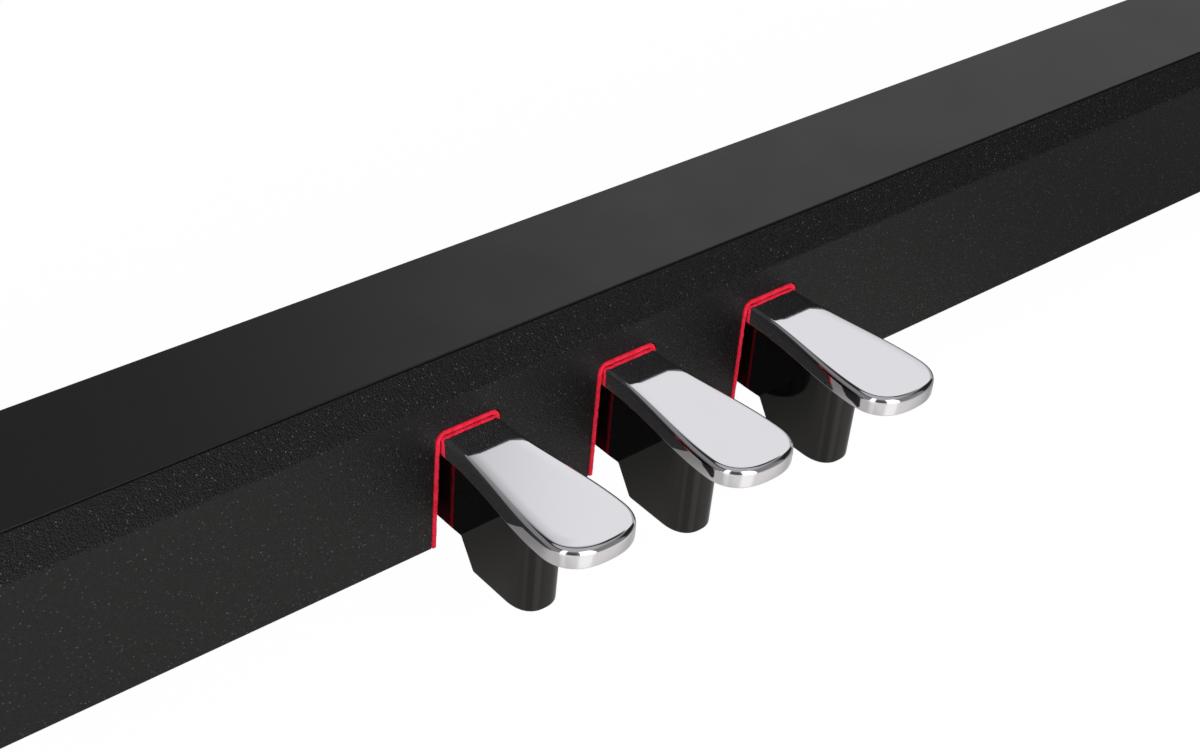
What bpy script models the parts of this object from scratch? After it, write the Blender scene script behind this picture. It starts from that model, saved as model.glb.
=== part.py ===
"""Pedal board of a digital piano: a boxed crossbar between the stand's legs, with three sprung pedals.

Metres, +Z up. X runs along the bar, Y from the player to the back. The origin is at the middle of the
bar's length, on the plane of its front face, at its bottom edge.
"""

import math

import bmesh
import bpy
from mathutils import Vector

# Crossbar
BAR_LENGTH = 1.200
BAR_DEPTH = 0.0627
BAR_HEIGHT = 0.072
CHAMFER = 0.0102
FRONT_THICKNESS = 0.015
TOP_THICKNESS = 0.012
BACK_THICKNESS = 0.012
END_BLOCK_THICKNESS = 0.018
END_PLATE_THICKNESS = 0.002
BOLT_Y = 0.036
BOLT_Z = 0.032
INSERT_RADIUS = 0.006
INSERT_BORE_RADIUS = 0.0034
BOLT_HOLE_RADIUS = 0.0045

# Clearance between two pieces that touch, and how far a cutter runs past what it cuts
GAP = 0.0003
PAST = 0.005

# Pedals
PEDALS = (("left", -0.070), ("middle", 0.0), ("right", 0.070))
PIVOT_Y = 0.100
PIVOT_Z = 0.024
PLATE_TOP = 0.0474
PLATE_UNDERSIDE = 0.0404
UNDER_SLOPE = 0.0205
TOP_SLOPE = 0.0240
PLATE_BACK = 0.020
NECK_END = -0.005
NECK_HALF_WIDTH = 0.0114
WIDEST_Y = -0.060
TIP_HALF_WIDTH = 0.0171
TIP_Y = -0.0745
TIP_ROUNDNESS = 2.4
PLATE_EDGE_RADIUS = 0.0016
TAIL_HALF_WIDTH = 0.0095
TAIL_TOP = 0.0470
TAIL_UNDERSIDE = 0.0424
BOSS_RADIUS = 0.009
BOSS_HALF_LENGTH = 0.012
BODY_HALF_WIDTH = 0.0092
BODY_NOSE_Y = -0.0345
BODY_NOSE_LENGTH = 0.0115
BODY_BOTTOM = -0.0003
BODY_ROUNDNESS = 2.4

# Slot in the front board, lined with felt
FELT_HALF_WIDTH = 0.0133
FELT_TOP = 0.0498
FELT_LEG = 0.0016
FELT_PROUD = 0.0004
FELT_CORNER = 0.0038

# Pedal mechanism
SHEET = 0.0015
UNIT_HALF_WIDTH = 0.120
UNIT_BACK = 0.1135
UNIT_FRONT = 0.0155
COVER_EDGE_Z = 0.0305
SHAFT_RADIUS = 0.004
SHAFT_HALF_LENGTH = 0.094
BUSH_RADIUS = 0.0065
YOKE_HALF_WIDTH = 0.016
YOKE_SHEET = 0.002
SPRING_Y = 0.050
SPRING_RADIUS = 0.0055
SPRING_WIRE_RADIUS = 0.001
SPRING_TURNS = 6
SPRING_BOSS_RADIUS = 0.004
SENSOR_Y = 0.044
BOARD_BOTTOM = 0.0564
SCREW_Z = 0.008
SCREW_PLACES = (("left", -0.090), ("centre", 0.0), ("right", 0.090))

# Height adjuster
ADJUSTER_Y = 0.034
ADJUSTER_BASE = -0.035
PAD_THICKNESS = 0.0027
KNOB_HEIGHT = 0.010
KNOB_RADIUS = 0.0125
STUD_RADIUS = 0.004
STUD_TOP = 0.022
NUT_RADIUS = 0.0075
NUT_HEIGHT = 0.0065

AXES = {"X": (1, 2, 0), "Y": (0, 2, 1), "Z": (0, 1, 2)}


def clear_scene():
    for obj in list(bpy.data.objects):
        bpy.data.objects.remove(obj, do_unlink=True)


def material(name, colour, roughness, metallic=0.0):
    mat = bpy.data.materials.new(name)
    mat.use_nodes = True
    shader = mat.node_tree.nodes["Principled BSDF"]
    shader.inputs["Base Color"].default_value = (*colour, 1.0)
    shader.inputs["Roughness"].default_value = roughness
    shader.inputs["Metallic"].default_value = metallic
    mat.diffuse_color = (*colour, 1.0)
    return mat


def finish(name, bm, mat, smooth=False):
    """Turn a bmesh into a named object with its faces pointing out."""
    bmesh.ops.recalc_face_normals(bm, faces=bm.faces)
    mesh = bpy.data.meshes.new(name)
    bm.to_mesh(mesh)
    bm.free()
    if mat:
        mesh.materials.append(mat)
    if smooth:
        mesh.shade_smooth()
        mesh.set_sharp_from_angle(angle=math.radians(35))
    obj = bpy.data.objects.new(name, mesh)
    bpy.context.scene.collection.objects.link(obj)
    return obj


def point_on(axis, a, b, along):
    """A point from its two cross coordinates and its place along the axis."""
    place = [0.0, 0.0, 0.0]
    first, second, last = AXES[axis]
    place[first] = a
    place[second] = b
    place[last] = along
    return Vector(place)


def prism(name, outline, axis, low, high, mat, smooth=False):
    """An outline extruded along an axis from low to high."""
    bm = bmesh.new()
    near = [bm.verts.new(point_on(axis, a, b, low)) for a, b in outline]
    far = [bm.verts.new(point_on(axis, a, b, high)) for a, b in outline]
    bm.faces.new(near)
    bm.faces.new(list(reversed(far)))
    for i in range(len(outline)):
        j = (i + 1) % len(outline)
        bm.faces.new((near[i], far[i], far[j], near[j]))
    return finish(name, bm, mat, smooth)


def box(name, low, high, mat):
    """A block between two opposite corners."""
    outline = [(low[0], low[1]), (high[0], low[1]), (high[0], high[1]), (low[0], high[1])]
    return prism(name, outline, "Z", low[2], high[2], mat)


def turned(name, profile, axis, centre, mat, segments=24):
    """A solid of revolution. The profile runs along the axis as (place, radius) pairs."""
    bm = bmesh.new()
    rings = []
    for along, radius in profile:
        ring = []
        for k in range(segments):
            angle = 2 * math.pi * k / segments
            a = centre[0] + radius * math.cos(angle)
            b = centre[1] + radius * math.sin(angle)
            ring.append(bm.verts.new(point_on(axis, a, b, along)))
        rings.append(ring)
    bm.faces.new(rings[0])
    bm.faces.new(rings[-1])
    for first, second in zip(rings, rings[1:]):
        for i in range(segments):
            j = (i + 1) % segments
            bm.faces.new((first[i], first[j], second[j], second[i]))
    return finish(name, bm, mat, smooth=True)


def tube(name, outer, inner, axis, centre, low, high, mat, segments=24):
    """A straight tube along an axis."""
    bm = bmesh.new()
    rings = []
    for radius, along in ((outer, low), (outer, high), (inner, high), (inner, low)):
        ring = []
        for k in range(segments):
            angle = 2 * math.pi * k / segments
            a = centre[0] + radius * math.cos(angle)
            b = centre[1] + radius * math.sin(angle)
            ring.append(bm.verts.new(point_on(axis, a, b, along)))
        rings.append(ring)
    for first, second in zip(rings, rings[1:] + rings[:1]):
        for i in range(segments):
            j = (i + 1) % segments
            bm.faces.new((first[i], first[j], second[j], second[i]))
    return finish(name, bm, mat, smooth=True)


def combine(obj, tool, operation="DIFFERENCE"):
    """Cut, join or intersect a piece with a tool, which stays in the file as a hidden wire object."""
    tool.hide_render = True
    tool.display_type = "WIRE"
    modifier = obj.modifiers.new(f"{operation.lower()} {tool.name}"[:60], "BOOLEAN")
    modifier.operation = operation
    modifier.object = tool
    modifier.solver = "EXACT"


def set_origin(obj, origin):
    """Move a piece's origin to a point, such as its joint's axis, without moving the piece."""
    origin = Vector(origin)
    for vertex in obj.data.vertices:
        vertex.co -= origin
    obj.location = origin


def arch_outline(half_width, top, bottom, radius, middle=0.0, steps=5):
    """An upright outline with two rounded top corners, from the lower left round to the lower right."""
    points = [(middle - half_width, bottom)]
    for k in range(steps + 1):
        angle = math.pi - 0.5 * math.pi * k / steps
        across = middle - half_width + radius + radius * math.cos(angle)
        points.append((across, top - radius + radius * math.sin(angle)))
    for k in range(steps + 1):
        angle = 0.5 * math.pi * (1 - k / steps)
        across = middle + half_width - radius + radius * math.cos(angle)
        points.append((across, top - radius + radius * math.sin(angle)))
    points.append((middle + half_width, bottom))
    return points


# Crossbar


def make_front_board(mat):
    """Board with a 45 degree chamfer, a rebate for the top board and three slots open at the bottom."""
    half = BAR_LENGTH / 2
    rebate = BAR_HEIGHT - TOP_THICKNESS
    section = [
        (0.0, 0.0),
        (0.0, BAR_HEIGHT - CHAMFER),
        (CHAMFER, BAR_HEIGHT),
        (CHAMFER, rebate),
        (FRONT_THICKNESS, rebate),
        (FRONT_THICKNESS, 0.0),
    ]
    board = prism("front_board", section, "X", -half, half, mat)
    for side, x in PEDALS:
        arch = arch_outline(FELT_HALF_WIDTH + GAP, FELT_TOP + GAP, -PAST, FELT_CORNER, x)
        slot = prism(f"cut_slot_{side}", arch, "Y", -PAST, FRONT_THICKNESS + PAST, None)
        combine(board, slot)


def make_top_board(mat):
    half = BAR_LENGTH / 2
    low = (-half, CHAMFER + GAP, BAR_HEIGHT - TOP_THICKNESS + GAP)
    box("top_board", low, (half, BAR_DEPTH, BAR_HEIGHT), mat)


def make_back_boards(mat):
    """One board each side of the pedal mechanism, from its side plate to the end block."""
    inner = UNIT_HALF_WIDTH + 2 * GAP
    outer = BAR_LENGTH / 2 - END_BLOCK_THICKNESS - GAP
    front = BAR_DEPTH - BACK_THICKNESS
    top = BAR_HEIGHT - TOP_THICKNESS
    box("back_board_left", (-outer, front, 0.0), (-inner, BAR_DEPTH, top), mat)
    box("back_board_right", (inner, front, 0.0), (outer, BAR_DEPTH, top), mat)


def make_bar_end(side, sign, mats):
    """End block, its threaded insert and the steel end plate that meets the stand's leg."""
    half = BAR_LENGTH / 2
    inner = half - END_BLOCK_THICKNESS
    front = FRONT_THICKNESS + GAP
    top = BAR_HEIGHT - TOP_THICKNESS - GAP
    xs = sorted((sign * inner, sign * half))
    block = box(f"end_block_{side}", (xs[0], front, GAP), (xs[1], BAR_DEPTH, top), mats["board_raw"])
    centre = (BOLT_Y, BOLT_Z)
    hole_from = sign * (inner + 0.003)
    hole = sorted((hole_from, sign * (half + PAST)))
    profile = [(hole[0], INSERT_RADIUS + GAP), (hole[1], INSERT_RADIUS + GAP)]
    combine(block, turned(f"cut_insert_{side}", profile, "X", centre, None))
    ends = sorted((hole_from + sign * GAP, sign * half))
    bore = INSERT_BORE_RADIUS
    tube(f"end_insert_{side}", INSERT_RADIUS, bore, "X", centre, ends[0], ends[1], mats["brass"])
    face = sorted((sign * (half + GAP), sign * (half + GAP + END_PLATE_THICKNESS)))
    outline = [(0.003, 0.003), (0.060, 0.003), (0.060, 0.058), (0.013, 0.058), (0.003, 0.048)]
    plate = prism(f"end_plate_{side}", outline, "X", face[0], face[1], mats["zinc"])
    profile = [(face[0] - PAST, BOLT_HOLE_RADIUS), (face[1] + PAST, BOLT_HOLE_RADIUS)]
    combine(plate, turned(f"cut_end_plate_{side}", profile, "X", centre, None))


def make_slot_felt(side, x, mat):
    """Inverted U of felt that lines a slot and stands a little proud of the front face."""
    outer = arch_outline(FELT_HALF_WIDTH, FELT_TOP, GAP, FELT_CORNER, x)
    inner_top = PLATE_TOP + GAP
    inner = arch_outline(FELT_HALF_WIDTH - FELT_LEG, inner_top, GAP, FELT_CORNER - FELT_LEG, x)
    outline = outer + list(reversed(inner))
    prism(f"slot_felt_{side}", outline, "Y", -FELT_PROUD, FRONT_THICKNESS - GAP, mat)


# Pedals


def plate_half_width(y):
    """Half width of the pedal plate, widening in a smooth step from the neck to the tip."""
    t = min(max((y - NECK_END) / (WIDEST_Y - NECK_END), 0.0), 1.0)
    return NECK_HALF_WIDTH + (TIP_HALF_WIDTH - NECK_HALF_WIDTH) * t * t * (3 - 2 * t)


def plate_outline():
    """Plan outline of the pedal plate: straight neck, flared sides and a rounded tip."""
    side = [(NECK_HALF_WIDTH, PLATE_BACK), (NECK_HALF_WIDTH, NECK_END)]
    steps = 7
    for k in range(1, steps):
        y = NECK_END + (WIDEST_Y - NECK_END) * k / steps
        side.append((plate_half_width(y), y))
    length = WIDEST_Y - TIP_Y
    power = 2 / TIP_ROUNDNESS
    steps = 8
    for k in range(steps):
        angle = 0.5 * math.pi * k / steps
        across = TIP_HALF_WIDTH * math.cos(angle) ** power
        side.append((across, WIDEST_Y - length * math.sin(angle) ** power))
    mirrored = [(-a, b) for a, b in reversed(side)]
    return side + [(0.0, TIP_Y)] + mirrored


def topside(y):
    """Height of the plate's top, which rises slightly from the slot to the tip."""
    return PLATE_TOP - TOP_SLOPE * min(y, 0.0)


def underside(y):
    """Height of the plate's underside, which rises a little less than the top."""
    return PLATE_UNDERSIDE - UNDER_SLOPE * min(y, 0.0)


def make_pedal_plate(name, x, mat):
    """The plate underfoot, with a rounded upper edge."""
    bm = bmesh.new()
    outline = plate_outline()
    upper = [bm.verts.new((x + a, b, topside(b))) for a, b in outline]
    lower = [bm.verts.new((x + a, b, underside(b))) for a, b in outline]
    bm.faces.new(upper)
    bm.faces.new(list(reversed(lower)))
    rim = []
    for i in range(len(outline)):
        j = (i + 1) % len(outline)
        bm.faces.new((upper[i], lower[i], lower[j], upper[j]))
        rim.append(bm.edges.get((upper[i], upper[j])))
    bmesh.ops.recalc_face_normals(bm, faces=bm.faces)
    bmesh.ops.bevel(bm, geom=rim, offset=PLATE_EDGE_RADIUS, segments=2, profile=0.5, affect="EDGES")
    return finish(name, bm, mat, smooth=True)


def make_pedal_lever(side, x, mat):
    """Plate, sloping tail, spring boss and pivot boss cast in one piece."""
    lever = make_pedal_plate(f"pedal_lever_{side}", x, mat)
    tail_outline = [
        (0.005, TAIL_UNDERSIDE),
        (0.005, TAIL_TOP),
        (0.062, TAIL_TOP),
        (0.103, 0.032),
        (0.106, PIVOT_Z),
        (PIVOT_Y, 0.0165),
        (0.092, 0.020),
        (0.060, TAIL_UNDERSIDE),
    ]
    low = x - TAIL_HALF_WIDTH
    high = x + TAIL_HALF_WIDTH
    combine(lever, prism(f"join_tail_{side}", tail_outline, "X", low, high, None), "UNION")
    profile = [(x - BOSS_HALF_LENGTH, BOSS_RADIUS), (x + BOSS_HALF_LENGTH, BOSS_RADIUS)]
    boss = turned(f"join_boss_{side}", profile, "X", (PIVOT_Y, PIVOT_Z), None)
    combine(lever, boss, "UNION")
    profile = [(0.038, SPRING_BOSS_RADIUS), (TAIL_UNDERSIDE + 0.001, SPRING_BOSS_RADIUS)]
    spring_boss = turned(f"join_spring_boss_{side}", profile, "Z", (x, SPRING_Y), None, 16)
    combine(lever, spring_boss, "UNION")
    bore_radius = BUSH_RADIUS + GAP
    profile = [(x - BOSS_HALF_LENGTH - PAST, bore_radius), (x + BOSS_HALF_LENGTH + PAST, bore_radius)]
    bore = turned(f"cut_bore_{side}", profile, "X", (PIVOT_Y, PIVOT_Z), None)
    combine(lever, bore)
    set_origin(lever, (x, PIVOT_Y, PIVOT_Z))


def make_pedal_body(side, x, mat):
    """Block under the plate: deep at its round nose, shallow where it passes through the slot."""
    stations = [
        (0.025, BODY_HALF_WIDTH, 0.0105),
        (0.000, BODY_HALF_WIDTH, 0.0110),
        (-0.0097, BODY_HALF_WIDTH, 0.0119),
        (-0.0173, BODY_HALF_WIDTH, 0.0007),
        (-0.0184, BODY_HALF_WIDTH, BODY_BOTTOM),
    ]
    steps = 8
    power = 2 / BODY_ROUNDNESS
    for k in range(steps):
        angle = 0.5 * math.pi * k / steps
        y = BODY_NOSE_Y - BODY_NOSE_LENGTH * math.sin(angle) ** power
        stations.append((y, BODY_HALF_WIDTH * math.cos(angle) ** power, BODY_BOTTOM))
    bm = bmesh.new()
    rings = []
    for y, half_width, bottom in stations:
        top = underside(y) - GAP
        corners = ((-half_width, bottom), (half_width, bottom), (half_width, top), (-half_width, top))
        rings.append([bm.verts.new((x + a, y, z)) for a, z in corners])
    bm.faces.new(rings[0])
    bm.faces.new(rings[-1])
    for first, second in zip(rings, rings[1:]):
        for i in range(4):
            j = (i + 1) % 4
            bm.faces.new((first[i], first[j], second[j], second[i]))
    body = finish(f"pedal_body_{side}", bm, mat, smooth=True)
    set_origin(body, (x, PIVOT_Y, PIVOT_Z))


def make_pivot_bush(side, x, mat):
    half = YOKE_HALF_WIDTH - YOKE_SHEET - 2 * GAP
    centre = (PIVOT_Y, PIVOT_Z)
    inner = SHAFT_RADIUS + GAP
    bush = tube(f"pivot_bush_{side}", BUSH_RADIUS, inner, "X", centre, x - half, x + half, mat)
    set_origin(bush, (x, PIVOT_Y, PIVOT_Z))


def make_magnet(side, x, mat):
    profile = [(TAIL_TOP + GAP, 0.004), (TAIL_TOP + GAP + 0.003, 0.004)]
    magnet = turned(f"sensor_magnet_{side}", profile, "Z", (x, SENSOR_Y), mat, 20)
    set_origin(magnet, (x, PIVOT_Y, PIVOT_Z))


# Pedal mechanism


def make_pivot_yoke(side, x, mat):
    """Folded U bracket that holds the shaft each side of a pedal's boss."""
    base = SHEET + GAP
    top = PIVOT_Z + BOSS_RADIUS
    inner = YOKE_HALF_WIDTH - YOKE_SHEET
    section = [
        (x - YOKE_HALF_WIDTH, base),
        (x + YOKE_HALF_WIDTH, base),
        (x + YOKE_HALF_WIDTH, top + PAST),
        (x + inner, top + PAST),
        (x + inner, base + YOKE_SHEET),
        (x - inner, base + YOKE_SHEET),
        (x - inner, top + PAST),
        (x - YOKE_HALF_WIDTH, top + PAST),
    ]
    yoke = prism(f"pivot_yoke_{side}", section, "Y", PIVOT_Y - 0.012, PIVOT_Y + 0.012, mat)
    arch = arch_outline(BOSS_RADIUS, top, -PAST, BOSS_RADIUS - GAP, PIVOT_Y, 6)
    low = x - YOKE_HALF_WIDTH - PAST
    high = x + YOKE_HALF_WIDTH + PAST
    combine(yoke, prism(f"cut_yoke_shape_{side}", arch, "X", low, high, None), "INTERSECT")
    profile = [(low, SHAFT_RADIUS + GAP), (high, SHAFT_RADIUS + GAP)]
    combine(yoke, turned(f"cut_yoke_hole_{side}", profile, "X", (PIVOT_Y, PIVOT_Z), None))


def make_pivot_shaft(mats):
    """One shaft through the three yokes, kept in by a clip at each end."""
    centre = (PIVOT_Y, PIVOT_Z)
    tip = SHAFT_RADIUS - 0.0008
    end = SHAFT_HALF_LENGTH
    bevel = end - 0.0008
    profile = [(-end, tip), (-bevel, SHAFT_RADIUS), (bevel, SHAFT_RADIUS), (end, tip)]
    turned("pivot_shaft", profile, "X", centre, mats["steel"])
    for side, x in (PEDALS[0], PEDALS[2]):
        sign = math.copysign(1.0, x)
        near = x + sign * (YOKE_HALF_WIDTH + GAP)
        ends = sorted((near, near + sign * 0.0012))
        inner = SHAFT_RADIUS + GAP
        tube(f"shaft_clip_{side}", 0.0072, inner, "X", centre, ends[0], ends[1], mats["steel"], 20)


def make_bottom_plate(mat):
    """Folded tray under the mechanism, with a rear flange and a hole for the adjuster."""
    half = UNIT_HALF_WIDTH
    back = UNIT_BACK - SHEET
    section = [
        (UNIT_FRONT, 0.0),
        (back, 0.0),
        (back, 0.014),
        (back - SHEET, 0.014),
        (back - SHEET, SHEET),
        (UNIT_FRONT, SHEET),
    ]
    inside = half - SHEET - GAP
    plate = prism("bottom_plate", section, "X", -inside, inside, mat)
    profile = [(-PAST, STUD_RADIUS + 2 * GAP), (PAST, STUD_RADIUS + 2 * GAP)]
    combine(plate, turned("cut_adjuster_hole", profile, "Z", (0.0, ADJUSTER_Y), None))
    for side, x in PEDALS:
        profile = [(SHEET - 0.001, SPRING_BOSS_RADIUS), (SHEET + 0.004, SPRING_BOSS_RADIUS)]
        centre = (x, SPRING_Y)
        combine(plate, turned(f"join_seat_{side}", profile, "Z", centre, None, 16), "UNION")
    for side, x in SCREW_PLACES:
        profile = [(back - 2 * PAST, 0.0019), (back + PAST, 0.0019)]
        combine(plate, turned(f"cut_flange_{side}", profile, "Y", (x, SCREW_Z), None, 16))


def make_side_plates(mat):
    """Steel side walls that follow the slope of the rear cover. The right one has the socket's window."""
    top = BAR_HEIGHT - TOP_THICKNESS - GAP
    outline = [
        (UNIT_FRONT, 0.0),
        (UNIT_BACK, 0.0),
        (UNIT_BACK, COVER_EDGE_Z),
        (BAR_DEPTH, 0.0589),
        (BAR_DEPTH, top),
        (UNIT_FRONT, top),
    ]
    for side, sign in (("left", -1), ("right", 1)):
        xs = sorted((sign * UNIT_HALF_WIDTH, sign * (UNIT_HALF_WIDTH - SHEET)))
        plate = prism(f"side_plate_{side}", outline, "X", xs[0], xs[1], mat)
        if side == "right":
            low = (xs[0] - PAST, 0.0354, 0.0429)
            combine(plate, box("cut_socket_window", low, (xs[1] + PAST, 0.0510, 0.0564), None))


def make_rear_cover(mat):
    """Folded cover: a slope from the top board's back edge down to a short upright wall."""
    front = BAR_DEPTH + 2 * GAP
    outline = [
        (front, 0.0589),
        (UNIT_BACK, COVER_EDGE_Z),
        (UNIT_BACK, GAP),
        (UNIT_BACK - 0.0012, GAP),
        (UNIT_BACK - 0.0012, COVER_EDGE_Z - 0.0007),
        (front, 0.0575),
    ]
    inside = UNIT_HALF_WIDTH - SHEET - GAP
    cover = prism("rear_cover", outline, "X", -inside, inside, mat)
    for side, x in SCREW_PLACES:
        profile = [(UNIT_BACK - PAST, 0.0019), (UNIT_BACK + PAST, 0.0019)]
        combine(cover, turned(f"cut_cover_{side}", profile, "Y", (x, SCREW_Z), None, 16))


def make_cover_screw(side, x, mat):
    head = UNIT_BACK + GAP
    profile = [
        (UNIT_BACK - 0.0041, 0.0011),
        (UNIT_BACK - 0.0036, 0.0016),
        (head, 0.0016),
        (head, 0.0036),
        (head + 0.0010, 0.0034),
        (head + 0.0019, 0.0022),
    ]
    turned(f"cover_screw_{side}", profile, "Y", (x, SCREW_Z), mat, 20)


def make_stop_rail(mat):
    """Steel angle under the top board that carries the upper stops and the sensor board."""
    top = BAR_HEIGHT - TOP_THICKNESS - GAP
    under = top - 0.0014
    outline = [
        (0.0160, 0.0515),
        (0.0174, 0.0515),
        (0.0174, under),
        (0.0565, under),
        (0.0565, top),
        (0.0160, top),
    ]
    half = UNIT_HALF_WIDTH - SHEET - 2 * GAP
    prism("stop_rail", outline, "X", -half, half, mat)


def make_stops(side, x, mats):
    """Felt that the tail rests against when up, and rubber that the body meets when pressed."""
    under = BAR_HEIGHT - TOP_THICKNESS - 2 * GAP - 0.0014
    low = (x - 0.008, 0.024, TAIL_TOP + GAP)
    box(f"up_stop_felt_{side}", low, (x + 0.008, 0.034, under), mats["stop_felt"])
    low = (x - 0.008, 0.017, SHEET + GAP)
    box(f"down_stop_pad_{side}", low, (x + 0.008, 0.0255, 0.0036), mats["rubber"])


def make_return_spring(side, x, mat):
    """Coil spring between the tray and the tail, as one closed tube along a helix."""
    steps = 12
    sides = 6
    low = SHEET + GAP + SPRING_WIRE_RADIUS
    high = TAIL_UNDERSIDE - GAP - SPRING_WIRE_RADIUS
    bm = bmesh.new()
    rings = []
    total = SPRING_TURNS * steps
    for k in range(total + 1):
        angle = 2 * math.pi * k / steps
        height = low + (high - low) * k / total
        out = Vector((math.cos(angle), math.sin(angle), 0.0))
        middle = Vector((x, SPRING_Y, height)) + out * SPRING_RADIUS
        ring = []
        for s in range(sides):
            turn = 2 * math.pi * s / sides
            offset = out * math.cos(turn) + Vector((0.0, 0.0, math.sin(turn)))
            ring.append(bm.verts.new(middle + offset * SPRING_WIRE_RADIUS))
        rings.append(ring)
    bm.faces.new(rings[0])
    bm.faces.new(rings[-1])
    for first, second in zip(rings, rings[1:]):
        for i in range(sides):
            j = (i + 1) % sides
            bm.faces.new((first[i], first[j], second[j], second[i]))
    finish(f"return_spring_{side}", bm, mat, smooth=True)


def make_sensor_board(mats):
    """Circuit board flat under the rail, a position sensor over each magnet, and the cable socket."""
    top = BOARD_BOTTOM + 0.0016
    box("sensor_board", (-0.095, 0.0360, BOARD_BOTTOM), (0.1175, 0.0560, top), mats["circuit"])
    for side, x in PEDALS:
        low = (x - 0.003, SENSOR_Y - 0.003, BOARD_BOTTOM - GAP - 0.002)
        high = (x + 0.003, SENSOR_Y + 0.003, BOARD_BOTTOM - GAP)
        box(f"position_sensor_{side}", low, high, mats["chip"])
    low = (0.104, 0.0360, 0.0435)
    high = (0.1202, 0.0504, BOARD_BOTTOM - GAP)
    socket = box("cable_socket", low, high, mats["socket"])
    cavity = box("cut_socket_cavity", (0.110, 0.0384, 0.0463), (0.125, 0.0480, 0.0537), None)
    combine(socket, cavity)


# Height adjuster


def make_adjuster(mats):
    """Weld nut on the tray, and a screw with a knob and a rubber pad that stands on the floor."""
    hexagon = []
    for k in range(6):
        angle = math.pi / 3 * k
        hexagon.append((NUT_RADIUS * math.cos(angle), ADJUSTER_Y + NUT_RADIUS * math.sin(angle)))
    base = SHEET + GAP
    nut = prism("adjuster_nut", hexagon, "Z", base, base + NUT_HEIGHT, mats["zinc"])
    centre = (0.0, ADJUSTER_Y)
    bore = STUD_RADIUS + GAP
    profile = [(-PAST, bore), (base + NUT_HEIGHT + PAST, bore)]
    combine(nut, turned("cut_nut_bore", profile, "Z", centre, None))
    pad_top = ADJUSTER_BASE + PAD_THICKNESS
    profile = [(ADJUSTER_BASE, 0.0110), (ADJUSTER_BASE + 0.0008, 0.0118), (pad_top, 0.0118)]
    pad = turned("adjuster_pad", profile, "Z", centre, mats["rubber"], 28)
    set_origin(pad, (0.0, ADJUSTER_Y, ADJUSTER_BASE))
    foot = pad_top + GAP
    profile = [(foot, STUD_RADIUS), (STUD_TOP - 0.001, STUD_RADIUS), (STUD_TOP, 0.003)]
    stud = turned("adjuster_screw", profile, "Z", centre, mats["zinc"])
    set_origin(stud, (0.0, ADJUSTER_Y, ADJUSTER_BASE))
    lobes = 12
    per_lobe = 4
    outline = []
    for k in range(lobes * per_lobe):
        angle = 2 * math.pi * k / (lobes * per_lobe)
        radius = KNOB_RADIUS - 0.0006 + 0.0006 * math.cos(lobes * angle)
        outline.append((radius * math.cos(angle), ADJUSTER_Y + radius * math.sin(angle)))
    knob = prism("adjuster_knob", outline, "Z", foot, foot + KNOB_HEIGHT, mats["knob"], True)
    profile = [(foot - PAST, bore), (foot + KNOB_HEIGHT + PAST, bore)]
    combine(knob, turned("cut_knob_bore", profile, "Z", centre, None))
    set_origin(knob, (0.0, ADJUSTER_Y, ADJUSTER_BASE))


def make_materials():
    return {
        "front": material("textured_black", (0.017, 0.016, 0.016), 0.45),
        "top": material("satin_black", (0.020, 0.020, 0.021), 0.32),
        "board_raw": material("board_black", (0.018, 0.017, 0.017), 0.60),
        "chrome": material("chrome", (0.80, 0.80, 0.82), 0.08, 1.0),
        "gloss": material("gloss_black", (0.008, 0.008, 0.008), 0.10),
        "felt": material("red_felt", (0.65, 0.012, 0.035), 0.95),
        "stop_felt": material("grey_felt", (0.22, 0.21, 0.20), 0.95),
        "rubber": material("black_rubber", (0.020, 0.020, 0.020), 0.75),
        "zinc": material("zinc_steel", (0.56, 0.57, 0.58), 0.35, 1.0),
        "steel": material("ground_steel", (0.62, 0.62, 0.62), 0.22, 1.0),
        "painted": material("painted_steel", (0.022, 0.022, 0.022), 0.50),
        "brass": material("brass", (0.72, 0.50, 0.22), 0.28, 1.0),
        "nylon": material("nylon", (0.78, 0.76, 0.70), 0.45),
        "magnet": material("nickel", (0.70, 0.69, 0.66), 0.20, 1.0),
        "circuit": material("circuit_green", (0.012, 0.10, 0.035), 0.35),
        "chip": material("chip_black", (0.015, 0.015, 0.015), 0.45),
        "socket": material("socket_white", (0.75, 0.73, 0.68), 0.40),
        "knob": material("knob_black", (0.018, 0.018, 0.018), 0.45),
    }


def main():
    clear_scene()
    mats = make_materials()
    make_front_board(mats["front"])
    make_top_board(mats["top"])
    make_back_boards(mats["board_raw"])
    make_bar_end("left", -1, mats)
    make_bar_end("right", 1, mats)
    for side, x in PEDALS:
        make_slot_felt(side, x, mats["felt"])
        make_pedal_lever(side, x, mats["chrome"])
        make_pedal_body(side, x, mats["gloss"])
        make_pivot_bush(side, x, mats["nylon"])
        make_magnet(side, x, mats["magnet"])
        make_pivot_yoke(side, x, mats["zinc"])
        make_stops(side, x, mats)
        make_return_spring(side, x, mats["steel"])
    make_pivot_shaft(mats)
    make_bottom_plate(mats["zinc"])
    make_side_plates(mats["painted"])
    make_rear_cover(mats["painted"])
    for side, x in SCREW_PLACES:
        make_cover_screw(side, x, mats["zinc"])
    make_stop_rail(mats["zinc"])
    make_sensor_board(mats)
    make_adjuster(mats)


main()
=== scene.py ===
"""Looks of the pedal board: fine surfaces, materials, floor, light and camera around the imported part.

Metres, +Z up. X runs along the bar, Y from the player to the back, and the origin is at the middle of the
bar's length, on its front face, at its bottom edge.
"""

import math
import random

import bmesh
import bpy
from mathutils import Matrix, Vector, noise


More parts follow.
